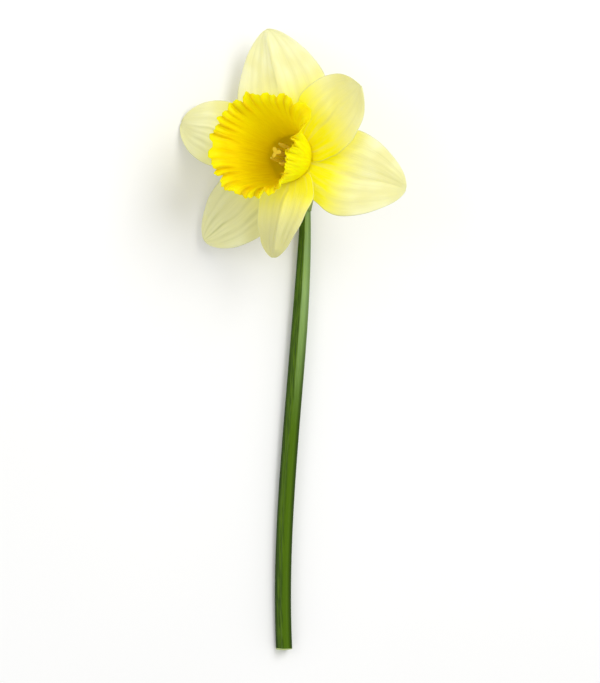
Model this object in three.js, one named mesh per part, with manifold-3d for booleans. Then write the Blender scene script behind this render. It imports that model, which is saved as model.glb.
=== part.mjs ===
import * as THREE from 'three';
import { ConvexHull } from 'three/addons/math/ConvexHull.js';
import Module from 'manifold-3d';

// One open daffodil flower, picked with its stem and laid on a flat surface.
// Millimetres, +Z up. The stem lies along Y, with the flower at its +Y end.
//
// Every shape is worked out in the flower as it grows: x to the onlooker's right, y up the
// stem, z toward the onlooker. The middle of the throat is the origin. The flower's own axis
// runs from there through the trumpet's mouth, turned to the left and a little up. The last
// section turns the whole flower over onto the three points that it rests on.

// Driving dimensions, in millimetres and degrees
const AXIS_LEFT = 28;
const AXIS_UP = 7;

const SEAT_GAP = 0.3;
const PETAL_THICKNESS = 0.6;
const PETAL_ROOT_RADIUS = 10.5;
const PETAL_ROOT_HALF_WIDTH = 4.7;
const INNER_PETAL_ROOT = -0.4;
const OUTER_PETAL_ROOT = -0.58;

const TRUMPET_LENGTH = 31;
const TRUMPET_WALL = 0.8;
const TRUMPET_ROOT_RADIUS = 9.4;
const TRUMPET_BODY_RADIUS = 15.2;
const TRUMPET_FLARE = 5.4;

const TUBE_RIM_DEPTH = 1.2;
const TUBE_RIM_RADIUS = 11;
const TUBE_MOUTH_RADIUS = 8.8;
const TUBE_LENGTH = 15;
const TUBE_FLOOR_DEPTH = 12;
const OVARY_LENGTH = 10;
const OVARY_RADIUS = 4.1;
const PEDICEL_RADIUS = 2.1;

const STEM_TOP_WIDTH = 4.5;
const STEM_FOOT_WIDTH = 6.9;
const STEM_FLATNESS = 0.78;
const STEM_HOLLOW_RADIUS = 1.3;
const STEM_HOLLOW_DEPTH = 8;

const SPATHE_LENGTH = 41;
const SPATHE_THICKNESS = 0.6;

const ANTHER_LENGTH = 9;
const ANTHER_RING_RADIUS = 3.7;
const STYLE_RADIUS = 0.75;
const STIGMA_HEIGHT = 12.5;

// Petals. The azimuth runs anticlockwise from the onlooker's right. Lean is how far the
// midrib rises toward the onlooker at the root, halfway and at the tip. Bend is how far the
// midrib swings sideways, cup how much the edges come forward, fold how sharply the blade is
// creased along its midrib. Widest is where along its length the blade is widest, and blunt how
// square its tip is.
const PETALS = [
  {
    name: 'petal_top', azimuth: 105.6, length: 46, halfWidth: 21.4, widest: 0.35, blunt: 1.7,
    lean: [-14, 9.5, 2], bend: 1, twist: 0, cup: -0.06, fold: 0.04, wave: 0.5, phase: 0.4,
  },
  {
    name: 'petal_lower_left', azimuth: 219.7, length: 42.5, halfWidth: 14.6, widest: 0.44, blunt: 2.6,
    lean: [-14, 4, -4.5], bend: 0, twist: 0, cup: -0.04, fold: 0.05, wave: 0.6, phase: 1.9,
  },
  {
    name: 'petal_right', azimuth: -14.6, length: 43.2, halfWidth: 18, widest: 0.37, blunt: 1.75,
    lean: [-14, 5, -4.5], bend: 0, twist: 0, cup: -0.03, fold: 0.05, wave: 0.5, phase: 3.1,
  },
  {
    name: 'petal_upper_right', azimuth: 41, length: 38, halfWidth: 15, widest: 0.42, blunt: 2.3,
    lean: [25, -8, 41], bend: -9, twist: 1, cup: 0.09, fold: 0.03, wave: 0.7, phase: 4.2,
  },
  {
    name: 'petal_left', azimuth: 162, length: 41.3, halfWidth: 13.8, widest: 0.49, blunt: 2.4,
    lean: [25, -6, 7.5], bend: 3.5, twist: 0, cup: 0.06, fold: 0.06, wave: 0.6, phase: 5.3,
  },
  {
    name: 'petal_bottom', azimuth: 273.5, length: 35.2, halfWidth: 13.2, widest: 0.26, blunt: 2.4,
    lean: [40, 16, -2], bend: -6, twist: 20, cup: 0.09, fold: -0.24, wave: 0.4, phase: 0.9,
  },
];

// Helpers

const rad = THREE.MathUtils.degToRad;
const mix = THREE.MathUtils.lerp;
const smooth = (x, from, to) => THREE.MathUtils.smoothstep(x, from, to);
const bump = (angle, at, width) => {
  const off = ((angle - at + 540) % 360) - 180;
  return Math.exp(-((off / width) ** 2));
};
const quadratic = ([a, b, c], u) => a * (1 - u) ** 2 + 2 * b * u * (1 - u) + c * u ** 2;

// The flower's own axes as they stand in the growing flower
const axis = new THREE.Vector3(
  -Math.sin(rad(AXIS_LEFT)) * Math.cos(rad(AXIS_UP)),
  Math.sin(rad(AXIS_UP)),
  Math.cos(rad(AXIS_LEFT)) * Math.cos(rad(AXIS_UP)),
);
const side = new THREE.Vector3(Math.cos(rad(AXIS_LEFT)), 0, Math.sin(rad(AXIS_LEFT)));
const up = new THREE.Vector3().crossVectors(axis, side);
const inFlower = (x, y, z) =>
  new THREE.Vector3().addScaledVector(side, x).addScaledVector(up, y).addScaledVector(axis, z);

function meshOf(points, index) {
  const geometry = new THREE.BufferGeometry();
  geometry.setAttribute('position', new THREE.Float32BufferAttribute(
    points.flatMap((p) => [p.x, p.y, p.z]),
    3,
  ));
  geometry.setIndex(index);
  return geometry;
}

// The way a surface faces at one of its points, from small steps along and across it
function facing(surface, u, s) {
  const step = 1e-3;
  const along = surface(Math.min(u + step, 1), s).sub(surface(Math.max(u - step, 0), s));
  const across = surface(u, s + step).sub(surface(u, s - step));
  return along.cross(across).normalize();
}

// A thin sheet of even thickness round a middle surface. u runs from its root to its tip and
// s across it, from -1 to 1. Both faces are split into triangles alike.
function sheet(surface, thickness, along, across, closedRound = false) {
  const points = [];
  const index = [];
  const columns = closedRound ? across : across + 1;
  const layer = (along + 1) * columns;
  for (const half of [0.5, -0.5]) {
    for (let i = 0; i <= along; i += 1) {
      for (let j = 0; j < columns; j += 1) {
        const u = i / along;
        const s = -1 + (2 * j) / across;
        points.push(surface(u, s).addScaledVector(facing(surface, u, s), half * thickness));
      }
    }
  }
  const at = (i, j, face) => face * layer + i * columns + (j % columns);
  for (let i = 0; i < along; i += 1) {
    for (let j = 0; j < across; j += 1) {
      const front = [at(i, j, 0), at(i + 1, j, 0), at(i + 1, j + 1, 0), at(i, j + 1, 0)];
      const back = front.map((k) => k + layer);
      index.push(front[0], front[1], front[2], front[0], front[2], front[3]);
      index.push(back[0], back[2], back[1], back[0], back[3], back[2]);
    }
  }
  const wall = (a, b) => index.push(a, b, b + layer, a, b + layer, a + layer);
  for (let j = 0; j < across; j += 1) {
    wall(at(0, j, 0), at(0, j + 1, 0));
    wall(at(along, j + 1, 0), at(along, j, 0));
  }
  if (!closedRound) {
    for (let i = 0; i < along; i += 1) {
      wall(at(i + 1, 0, 0), at(i, 0, 0));
      wall(at(i, across, 0), at(i + 1, across, 0));
    }
  }
  return meshOf(points, index);
}

// A body made of rings of points, one after another, closed by a fan at both ends
function skin(rings) {
  const count = rings[0].length;
  const points = rings.flat();
  const index = [];
  for (let i = 0; i + 1 < rings.length; i += 1) {
    for (let j = 0; j < count; j += 1) {
      const a = i * count + j;
      const b = i * count + ((j + 1) % count);
      index.push(a, b, b + count, a, b + count, a + count);
    }
  }
  const middle = (ring) =>
    ring.reduce((sum, p) => sum.add(p), new THREE.Vector3()).divideScalar(count);
  const first = points.push(middle(rings[0])) - 1;
  const last = points.push(middle(rings.at(-1))) - 1;
  const start = (rings.length - 1) * count;
  for (let j = 0; j < count; j += 1) {
    index.push(first, (j + 1) % count, j);
    index.push(last, start + j, start + ((j + 1) % count));
  }
  return meshOf(points, index);
}

// A ring of points round a place on a path, with its radius given for each angle
function ring(centre, tangent, out, count, radius) {
  const across = new THREE.Vector3().crossVectors(tangent, out).normalize();
  const outward = new THREE.Vector3().crossVectors(across, tangent).normalize();
  return Array.from({ length: count }, (_, j) => {
    const angle = (2 * Math.PI * j) / count;
    return centre.clone()
      .addScaledVector(outward, radius(angle) * Math.cos(angle))
      .addScaledVector(across, radius(angle) * Math.sin(angle));
  });
}

// Several closed bodies joined into one
const solids = await Module();
solids.setup();
function joined(geometries) {
  const parts = geometries.map((geometry) => new solids.Manifold(new solids.Mesh({
    numProp: 3,
    vertProperties: new Float32Array(geometry.getAttribute('position').array),
    triVerts: new Uint32Array(geometry.getIndex().array),
  })));
  const { vertProperties, triVerts } = solids.Manifold.union(parts).getMesh();
  const geometry = new THREE.BufferGeometry();
  geometry.setAttribute('position', new THREE.BufferAttribute(vertProperties, 3));
  geometry.setIndex(Array.from(triVerts));
  return geometry;
}

// Petals: the midrib starts at the tube's rim and runs outward. Each point of the blade lies
// to the side of the midrib, lifted by the blade's cup, crease and wave.

function petalHalfWidth(petal, u) {
  const { widest } = petal;
  const shoulder = Math.sin((Math.PI / 2) * Math.min(u / widest, 1)) ** 0.72;
  const inner = mix(PETAL_ROOT_HALF_WIDTH, petal.halfWidth, shoulder);
  const x = Math.max(u - widest, 0) / (1 - widest);
  return inner * (1 - x ** petal.blunt) ** 0.85 + 0.5 * x;
}

function petalSurface(petal) {
  const steps = 200;
  const midrib = [];
  const root = petal.lean[0] > 0 ? INNER_PETAL_ROOT : OUTER_PETAL_ROOT;
  const place = new THREE.Vector3(PETAL_ROOT_RADIUS, 0, root);
  for (let i = 0; i <= steps; i += 1) {
    const lean = rad(quadratic(petal.lean, i / steps));
    const swing = rad(petal.bend * (i / steps));
    const tangent = new THREE.Vector3(
      Math.cos(lean) * Math.cos(swing),
      Math.cos(lean) * Math.sin(swing),
      Math.sin(lean),
    );
    midrib.push({ place: place.clone(), tangent, swing });
    place.addScaledVector(tangent, petal.length / steps);
  }
  const turn = new THREE.Vector3(0, 0, 1);
  return (u, s) => {
    const k = Math.min(Math.floor(u * steps), steps - 1);
    const near = midrib[k];
    const far = midrib[k + 1];
    const part = u * steps - k;
    const tangent = near.tangent.clone().lerp(far.tangent, part).normalize();
    const swing = mix(near.swing, far.swing, part);
    const flat = new THREE.Vector3(-Math.sin(swing), Math.cos(swing), 0);
    const across = flat.applyAxisAngle(tangent, rad(petal.twist * u));
    const lift = tangent.clone().cross(across);
    const half = petalHalfWidth(petal, u);
    const v = half * s;
    const open = smooth(u, 0, 0.3);
    const crease = Math.sqrt(s * s + 0.02) - Math.sqrt(0.02);
    const ripple = Math.sin(7.5 * u + petal.phase + (s > 0 ? 2.1 : 0)) * s * s * Math.abs(s);
    const height = open * (
      petal.cup * half * s * s
      + petal.fold * half * crease
      + petal.wave * ripple
      - 0.25 * Math.exp(-((v / 1.6) ** 2)) * (1 - u)
    );
    const point = near.place.clone().lerp(far.place, part);
    point.addScaledVector(across, v).addScaledVector(lift, height);
    point.applyAxisAngle(turn, rad(petal.azimuth));
    return inFlower(point.x, point.y, point.z);
  };
}

// Trumpet: its wall rises from inside the petals' roots and flares at the mouth. The flare
// rolls back at the upper right, and at the lower right the wall stands up and tucks in. The
// mouth is frilled, and its pleats run down the wall and fade.

function trumpetSurface(u, s) {
  const degrees = s * 180;
  const turned = rad(degrees);
  const rolled = bump(degrees, 33, 26);
  const tucked = bump(degrees, -12, 34);
  const flare = TRUMPET_FLARE + 4.6 * rolled - 6.8 * tucked;
  const body = mix(TRUMPET_ROOT_RADIUS, TRUMPET_BODY_RADIUS, Math.sin((Math.PI / 2) * u) ** 0.9);
  const frill = 0.9 * Math.cos(17 * turned + 0.6) + 0.4 * Math.sin(11 * turned + 1.3);
  const pleat = 0.35 * Math.cos(17 * turned + 0.6) + 0.2 * Math.cos(6 * turned);
  const radius = body + flare * u ** 3.4 + frill * u ** 5 + pleat * smooth(u, 0.15, 0.8);
  const tooth = 0.7 * Math.cos(23 * turned + 2) + 0.5 * Math.sin(8 * turned);
  const height = TRUMPET_LENGTH * u - 6 * rolled * u ** 4 + tooth * u ** 6;
  const foot = -TUBE_RIM_DEPTH + SEAT_GAP + 0.1;
  return inFlower(radius * Math.cos(turned), radius * Math.sin(turned), foot + height);
}

// Neck: the pedicel bends over from the stem's top, swells into the ovary and opens into the
// floral tube, whose rim carries the petals and the trumpet.

const stemLine = new THREE.CubicBezierCurve3(
  new THREE.Vector3(6.4, -17, -33),
  new THREE.Vector3(5.6, -79.7, -32),
  new THREE.Vector3(-5.6, -142.3, -33),
  new THREE.Vector3(-2.6, -205, -37),
);
const stemTop = stemLine.getPoint(0);
const stemUp = stemLine.getTangent(0).negate();
const ovaryFoot = inFlower(0, 0, -TUBE_LENGTH - OVARY_LENGTH);
const pedicelLine = new THREE.CubicBezierCurve3(
  stemTop,
  stemTop.clone().addScaledVector(stemUp, 9),
  ovaryFoot.clone().addScaledVector(axis, -8),
  ovaryFoot,
);
const bendAcross = new THREE.Vector3().crossVectors(axis, stemUp).normalize();
const outOfBend = (tangent) => new THREE.Vector3().crossVectors(bendAcross, tangent).negate();

// Places along the neck, measured from the stem's top up to the throat
const pedicelLength = pedicelLine.getLength();
function neckPlace(distance) {
  if (distance < pedicelLength) {
    const u = Math.max(distance, 0) / pedicelLength;
    const place = pedicelLine.getPointAt(u).addScaledVector(stemUp, Math.min(distance, 0));
    return { place, tangent: pedicelLine.getTangentAt(u) };
  }
  const depth = TUBE_LENGTH + OVARY_LENGTH + pedicelLength - distance;
  return { place: inFlower(0, 0, -depth), tangent: axis.clone() };
}

// The tube's outside and its hollow, as [depth behind the throat, radius]
const TUBE_OUTSIDE = [
  [15, 3.1], [12.5, 3.6], [10, 4.3], [8, 5], [6, 6], [4.5, 7], [3.2, 8.2], [2.3, 9.5], [1.7, 10.6],
];
const TUBE_HOLLOW = [[2.4, 7.3], [4, 5.9], [6, 4.6], [8.5, 3.4], [TUBE_FLOOR_DEPTH, 2.2]];

function neckBody() {
  const sides = 20;
  const rings = [];
  for (let i = 0; i < 9; i += 1) {
    const { place, tangent } = neckPlace((pedicelLength * i) / 9);
    rings.push(ring(place, tangent, outOfBend(tangent), sides, () => PEDICEL_RADIUS));
  }
  const atDepth = (depth, radius) =>
    rings.push(ring(inFlower(0, 0, -depth), axis, outOfBend(axis), sides, radius));
  for (let i = 0; i < 9; i += 1) {
    const u = i / 9;
    const swell = mix(PEDICEL_RADIUS, 2.9, u) + (OVARY_RADIUS - 2.6) * Math.sin(Math.PI * u) ** 0.8;
    const lobed = (angle) => swell * (1 + 0.05 * Math.sin(Math.PI * u) * Math.cos(3 * angle));
    atDepth(TUBE_LENGTH + OVARY_LENGTH * (1 - u), lobed);
  }
  for (const [depth, radius] of TUBE_OUTSIDE) atDepth(depth, () => radius);
  atDepth(TUBE_RIM_DEPTH, () => TUBE_RIM_RADIUS);
  atDepth(TUBE_RIM_DEPTH, () => TUBE_MOUTH_RADIUS);
  for (const [depth, radius] of TUBE_HOLLOW) atDepth(depth, () => radius);
  return skin(rings);
}

// Stem: two-edged and finely ribbed, straight for most of its length, hollow where it is cut

function stemBody() {
  const sides = 20;
  const rings = [];
  const along = 22;
  const section = (width, scale) => (angle) => {
    const flat = Math.hypot(Math.cos(angle) / (STEM_FLATNESS * width), Math.sin(angle) / width);
    const edge = 0.05 * width * Math.abs(Math.sin(angle)) ** 8;
    return scale * (0.5 / flat + edge + 0.1 * Math.cos(10 * angle));
  };
  for (let i = 0; i <= along; i += 1) {
    const u = i / along;
    const place = stemLine.getPointAt(u);
    const tangent = stemLine.getTangentAt(u);
    const width = mix(STEM_TOP_WIDTH, STEM_FOOT_WIDTH, Math.sin((Math.PI / 2) * u) ** 0.7);
    if (i === 0) place.addScaledVector(tangent, SEAT_GAP);
    rings.push(ring(place, tangent, new THREE.Vector3(0.2, 0, -1), sides, section(width, 1)));
  }
  const foot = stemLine.getPoint(1);
  const down = stemLine.getTangent(1);
  for (const depth of [0, STEM_HOLLOW_DEPTH]) {
    const place = foot.clone().addScaledVector(down, -depth);
    const bore = () => STEM_HOLLOW_RADIUS;
    rings.push(ring(place, down, new THREE.Vector3(0.2, 0, -1), sides, bore));
  }
  return skin(rings);
}

// Spathe: the dry sheath wraps the stem's top, opens into a trough along the outside of the
// bend and ends in a point beside the tube

function spatheSurface(u, s) {
  const distance = -4 + SPATHE_LENGTH * u;
  const { place, tangent } = neckPlace(distance);
  const out = outOfBend(tangent).normalize();
  const across = new THREE.Vector3().crossVectors(tangent, out);
  const wrap = mix(160, 70, smooth(u, 0.02, 0.4)) * (1 - smooth(u, 0.5, 1.03)) + 6;
  const angle = rad(wrap * s);
  const crinkle = 0.14 * Math.sin(14 * s + 5 * u) + 0.12 * Math.sin(9 * u + 4 * s);
  const radius = 3.45 + 1.75 * smooth(u, 0.3, 0.6) + 4.6 * smooth(u, 0.62, 1.1) + crinkle;
  return place
    .addScaledVector(out, radius * Math.cos(angle))
    .addScaledVector(across, radius * Math.sin(angle));
}

// Stamens: a sleeve lines the tube, and six filaments rise from it with an anther each

function stamensBody() {
  const sleeve = sheet((u, s) => {
    const depth = mix(8.6, 5.4, u);
    const radius = mix(3.35, 4.95, u) - SEAT_GAP - 0.5;
    const angle = s * Math.PI;
    return inFlower(radius * Math.cos(angle), radius * Math.sin(angle), -depth);
  }, 0.8, 3, 24, true);
  const bodies = [sleeve];
  for (let k = 0; k < 6; k += 1) {
    const turned = rad(30 + 60 * k);
    const spot = (radius, z) =>
      inFlower(radius * Math.cos(turned), radius * Math.sin(turned), z);
    const outward = spot(1, 0);
    const reach = k % 2 ? 1.5 : 0;
    const filament = [];
    for (let i = 0; i <= 5; i += 1) {
      const u = i / 5;
      const place = spot(mix(3.05, ANTHER_RING_RADIUS, u), mix(-7.2, 2.5 + reach, u));
      filament.push(ring(place, axis, outward, 6, () => 0.5));
    }
    bodies.push(skin(filament));
    const anther = [];
    for (let i = 0; i <= 6; i += 1) {
      const u = i / 6;
      const fat = Math.sin(Math.PI * mix(0.07, 0.93, u)) ** 0.5;
      const place = spot(
        ANTHER_RING_RADIUS - 0.1 + 0.9 * (u - 0.4) ** 2,
        reach - 0.5 + ANTHER_LENGTH * u,
      );
      const shape = (angle) => fat * (0.85 + 0.2 * Math.abs(Math.sin(angle)));
      anther.push(ring(place, axis, outward, 8, shape));
    }
    bodies.push(skin(anther));
  }
  return joined(bodies);
}

// Pistil: the style stands on the tube's floor and ends in a stigma of three lobes

function pistilBody() {
  const rings = [];
  const profile = [
    [-TUBE_FLOOR_DEPTH + SEAT_GAP, 0.95, 0], [-6, STYLE_RADIUS, 0], [0, STYLE_RADIUS, 0],
    [6, STYLE_RADIUS, 0], [STIGMA_HEIGHT - 2, STYLE_RADIUS, 0.1],
    [STIGMA_HEIGHT - 0.9, 1.35, 0.3], [STIGMA_HEIGHT - 0.2, 1.75, 0.4],
    [STIGMA_HEIGHT, 1.3, 0.35],
  ];
  for (const [z, radius, lobe] of profile) {
    const shape = (angle) => radius * (1 + lobe * Math.cos(3 * angle));
    rings.push(ring(inFlower(0, 0, z), axis, side, 12, shape));
  }
  return skin(rings);
}

// The nodes, each with its own colour

const group = new THREE.Group();
group.name = 'daffodil_flower';
function add(name, geometry, colour, roughness) {
  const material = new THREE.MeshStandardMaterial({ color: colour, roughness, metalness: 0 });
  material.side = THREE.FrontSide;
  const mesh = new THREE.Mesh(geometry, material);
  mesh.name = name;
  group.add(mesh);
}

add('stem', stemBody(), '#6f9f3a', 0.45);
add('spathe', sheet(spatheSurface, SPATHE_THICKNESS, 14, 12), '#b99a63', 0.8);
add('neck', neckBody(), '#a9b84a', 0.5);
for (const petal of PETALS) {
  add(petal.name, sheet(petalSurface(petal), PETAL_THICKNESS, 16, 12), '#f6f2b4', 0.55);
}
add('trumpet', sheet(trumpetSurface, TRUMPET_WALL, 10, 96, true), '#f3dc08', 0.5);
add('stamens', stamensBody(), '#e9a412', 0.75);
add('pistil', pistilBody(), '#d7cf4e', 0.5);

// Resting: a body lies still on the face of its convex hull that its weight points through.
// Of those faces, the one at the flower's back is taken and turned down.

function weightOf(mesh) {
  const position = mesh.geometry.getAttribute('position');
  const index = mesh.geometry.getIndex();
  const [a, b, c] = [new THREE.Vector3(), new THREE.Vector3(), new THREE.Vector3()];
  const moment = new THREE.Vector3();
  let volume = 0;
  for (let i = 0; i < index.count; i += 3) {
    a.fromBufferAttribute(position, index.getX(i));
    b.fromBufferAttribute(position, index.getX(i + 1));
    c.fromBufferAttribute(position, index.getX(i + 2));
    const part = a.dot(b.clone().cross(c)) / 6;
    volume += part;
    moment.addScaledVector(a.clone().add(b).add(c), part / 4);
  }
  return { volume, moment };
}

function restingFace(meshes) {
  const points = [];
  const balance = new THREE.Vector3();
  let total = 0;
  for (const mesh of meshes) {
    const position = mesh.geometry.getAttribute('position');
    for (let i = 0; i < position.count; i += 1) {
      points.push(new THREE.Vector3().fromBufferAttribute(position, i));
    }
    const { volume, moment } = weightOf(mesh);
    total += volume;
    balance.add(moment);
  }
  balance.divideScalar(total);
  const back = new THREE.Vector3(-0.3, 0, -1).normalize();
  const hull = new ConvexHull().setFromPoints(points);
  let best = null;
  for (const face of hull.faces) {
    const corners = [0, 1, 2].map((k) => face.getEdge(k).head().point);
    const triangle = new THREE.Triangle(...corners);
    const foot = new THREE.Plane(face.normal, -face.constant).projectPoint(
      balance,
      new THREE.Vector3(),
    );
    const steady = triangle.containsPoint(foot);
    if (steady && (!best || face.normal.dot(back) > best.normal.dot(back))) best = face;
  }
  return best.normal.clone();
}

const down = restingFace(group.children);
const stemwise = new THREE.Vector3(0, 1, 0).addScaledVector(down, -down.y).normalize();
const pose = new THREE.Matrix4().makeBasis(
  new THREE.Vector3().crossVectors(stemwise, down.clone().negate()),
  stemwise,
  down.clone().negate(),
).transpose();
const bounds = new THREE.Box3();
for (const mesh of group.children) {
  mesh.geometry.applyMatrix4(pose);
  mesh.geometry.computeBoundingBox();
  bounds.union(mesh.geometry.boundingBox);
}
const middle = bounds.getCenter(new THREE.Vector3());
for (const mesh of group.children) {
  mesh.geometry.translate(-middle.x, -middle.y, -bounds.min.z);
  mesh.geometry.computeVertexNormals();
}

export default group;
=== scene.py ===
import math

import bpy
import numpy as np
from mathutils import Matrix, Vector


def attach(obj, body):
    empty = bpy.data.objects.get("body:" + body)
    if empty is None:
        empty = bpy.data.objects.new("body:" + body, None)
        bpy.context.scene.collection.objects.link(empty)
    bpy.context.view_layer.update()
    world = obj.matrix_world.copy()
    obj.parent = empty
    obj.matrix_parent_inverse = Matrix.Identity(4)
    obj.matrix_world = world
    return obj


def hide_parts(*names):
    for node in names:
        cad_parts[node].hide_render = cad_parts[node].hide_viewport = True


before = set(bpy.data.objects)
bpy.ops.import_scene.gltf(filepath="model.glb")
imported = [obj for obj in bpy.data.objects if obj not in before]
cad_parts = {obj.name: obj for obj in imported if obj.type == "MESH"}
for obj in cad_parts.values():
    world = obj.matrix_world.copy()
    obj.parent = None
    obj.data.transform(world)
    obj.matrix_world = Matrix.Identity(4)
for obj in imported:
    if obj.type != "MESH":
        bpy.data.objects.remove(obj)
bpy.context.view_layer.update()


# How the flower lies. Every piece is drawn in the flower as it grows: x to the onlooker's right,
# y up the stem and z toward the onlooker, in millimetres from the middle of the throat. The
# picked flower rests on its cut end, the base of its sheath and the tip of one petal.
BACK = Vector((-0.301644, 0.030416, -0.952935))
THROAT_AT = Vector((-0.21228, 76.34634, 32.78216))
MM = 0.001

stemwise = Vector((0, 1, 0))
stemwise = (stemwise - BACK * stemwise.dot(BACK)).normalized()
turned = Matrix((stemwise.cross(-BACK), stemwise, -BACK)).to_4x4()
LAID = Matrix.Scale(MM, 4) @ Matrix.Translation(THROAT_AT) @ turned

# The flower's own frame: its axis points out of the trumpet's mouth, to the left and a little up
AXIS_LEFT = math.radians(28)
AXIS_UP = math.radians(7)
axis = Vector((
    -math.sin(AXIS_LEFT) * math.cos(AXIS_UP),
    math.sin(AXIS_UP),
    math.cos(AXIS_LEFT) * math.cos(AXIS_UP),
))
side = Vector((math.cos(AXIS_LEFT), 0, math.sin(AXIS_LEFT)))
BLOOM = LAID @ Matrix((side, axis.cross(side), axis)).transposed().to_4x4()


# Camera. It looks square at the flower as the photograph does, which is down on it as it lies.
VIEW_MIDDLE = (4.1, -75.6)
VIEW_DISTANCE = 1500
VIEW_HEIGHT = 280
SENSOR = 36

eye = bpy.data.cameras.new("camera")
eye.sensor_fit = "VERTICAL"
eye.sensor_height = SENSOR
eye.sensor_width = SENSOR
eye.lens = SENSOR * VIEW_DISTANCE / VIEW_HEIGHT
eye.clip_start = 0.01
eye.clip_end = 20
camera = bpy.data.objects.new("camera", eye)
bpy.context.scene.collection.objects.link(camera)
camera.matrix_world = (
    Matrix.Translation(LAID @ Vector((*VIEW_MIDDLE, VIEW_DISTANCE)))
    @ turned
)
bpy.context.scene.camera = camera


# Studio. A white floor and a soft white room, with a large window of light to the upper right
# and a weaker one to the left. Colours are shown as they are, with no film curve.
FLOOR_SIZE = 6
ROOM_LIGHT = 0.7
LAMPS = [
    ("main light", (680, 420, 860), 0.8, 6.8),
    ("side light", (-520, 150, 1050), 0.5, 1.4),
]

bpy.context.scene.view_settings.view_transform = "Standard"

room = bpy.data.worlds.new("room")
room.use_nodes = True
room.node_tree.nodes["Background"].inputs["Color"].default_value = (1, 1, 1, 1)
room.node_tree.nodes["Background"].inputs["Strength"].default_value = ROOM_LIGHT
bpy.context.scene.world = room

for lamp_name, place, size, watts in LAMPS:
    lamp = bpy.data.lights.new(lamp_name, "AREA")
    lamp.shape = "DISK"
    lamp.size = size
    lamp.energy = watts
    holder = bpy.data.objects.new(lamp_name, lamp)
    bpy.context.scene.collection.objects.link(holder)
    at = LAID @ Vector(place)
    aim = LAID @ Vector((0, 0, 0)) - at
    holder.matrix_world = Matrix.Translation(at) @ aim.to_track_quat("-Z", "Y").to_matrix().to_4x4()


# Floor. A plain pale sheet that the flower lies on.

class Wire:
    """A socket that a node gives out. Arithmetic on it adds Math nodes."""

    def __init__(self, graph, socket):
        self.graph = graph
        self.socket = socket

    def maths(self, operation, *values):
        return self.graph.add("ShaderNodeMath", {"operation": operation}, values)

    def __add__(self, other):
        return self.maths("ADD", self, other)

    def __sub__(self, other):
        return self.maths("SUBTRACT", self, other)

    def __rsub__(self, other):
        return self.maths("SUBTRACT", other, self)

    def __mul__(self, other):
        return self.maths("MULTIPLY", self, other)

    def __truediv__(self, other):
        return self.maths("DIVIDE", self, other)

    def __rtruediv__(self, other):
        return self.maths("DIVIDE", other, self)

    def __pow__(self, other):
        return self.maths("POWER", self, other)

    __radd__ = __add__
    __rmul__ = __mul__

    def __abs__(self):
        return self.maths("ABSOLUTE", self)

    def sin(self):
        return self.maths("SINE", self)

    def cos(self):
        return self.maths("COSINE", self)

    def exp(self):
        return self.maths("EXPONENT", self)

    def least(self, other):
        return self.maths("MINIMUM", self, other)

    def most(self, other):
        return self.maths("MAXIMUM", self, other)

    def smooth(self, start, end):
        """Rises smoothly from 0 at start to 1 at end."""
        settings = {"interpolation_type": "SMOOTHSTEP"}
        return self.graph.add("ShaderNodeMapRange", settings, (self, start, end, 0, 1))

    def blend(self, low, high):
        """A colour between low, where this is 0, and high, where it is 1."""
        settings = {"data_type": "RGBA"}
        return self.graph.add("ShaderNodeMix", settings, {"Factor": self, "A": low, "B": high})

    def __getitem__(self, name):
        return Wire(self.graph, self.socket.node.outputs[name])


class Graph:
    """The node tree of a material or of a shape, filled through one method."""

    def __init__(self, tree):
        self.tree = tree

    def add(self, kind, settings=None, inputs=()):
        """Adds a node, sets it, feeds its sockets, and gives its first output."""
        node = self.tree.nodes.new(kind)
        for name, value in (settings or {}).items():
            setattr(node, name, value)
        named = inputs.items() if isinstance(inputs, dict) else enumerate(inputs)
        for name, value in named:
            if isinstance(name, str):
                socket = next(s for s in node.inputs if s.name == name and s.enabled)
            else:
                socket = node.inputs[name]
            if isinstance(value, Wire):
                self.tree.links.new(value.socket, socket)
            else:
                socket.default_value = value
        return Wire(self, next((s for s in node.outputs if s.enabled), None))


def paint(red, green, blue):
    """A colour as a screen shows it, from 0 to 255, as the shader wants it."""
    parts = [v / 255 for v in (red, green, blue)]
    return (*[p / 12.92 if p < 0.04045 else ((p + 0.055) / 1.055) ** 2.4 for p in parts], 1)


def finish(name, build):
    """A material. build gets its graph and gives the sockets of its shader."""
    material = bpy.data.materials.new(name)
    material.use_nodes = True
    material.node_tree.nodes.clear()
    graph = Graph(material.node_tree)
    shader = graph.add("ShaderNodeBsdfPrincipled", {}, build(graph))
    graph.add("ShaderNodeOutputMaterial", {}, {"Surface": shader})
    return material


def noise(graph, where, scale, detail=2.0, rough=0.5):
    """Soft noise from 0 to 1 over the places that are given."""
    inputs = {"Vector": where, "Scale": scale, "Detail": detail, "Roughness": rough}
    return graph.add("ShaderNodeTexNoise", {}, inputs)


def relief(graph, height, depth):
    """A bump from a height of about 0 to 1, which stands for that many metres."""
    return graph.add("ShaderNodeBump", {}, {"Distance": depth, "Height": height})


def floor_finish(graph):
    where = graph.add("ShaderNodeTexCoord")["Object"]
    cloud = noise(graph, where, 6.0)
    return {
        "Base Color": cloud.blend(paint(244, 244, 243), paint(250, 250, 249)),
        "Roughness": 0.7,
        "Specular IOR Level": 0.2,
    }


def piece_of(name, points, faces, material):
    """A smooth mesh as an object of the scene."""
    mesh = bpy.data.meshes.new(name)
    mesh.from_pydata([tuple(p) for p in points], [], faces)
    mesh.materials.append(material)
    mesh.shade_smooth()
    made = bpy.data.objects.new(name, mesh)
    bpy.context.scene.collection.objects.link(made)
    return made


half_floor = FLOOR_SIZE / 2
corners = [(x, y, 0) for x, y in ((-1, -1), (1, -1), (1, 1), (-1, 1))]
floor = piece_of(
    "floor",
    [tuple(half_floor * v for v in corner) for corner in corners],
    [(0, 1, 2, 3)],
    finish("pale floor", floor_finish),
)


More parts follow.
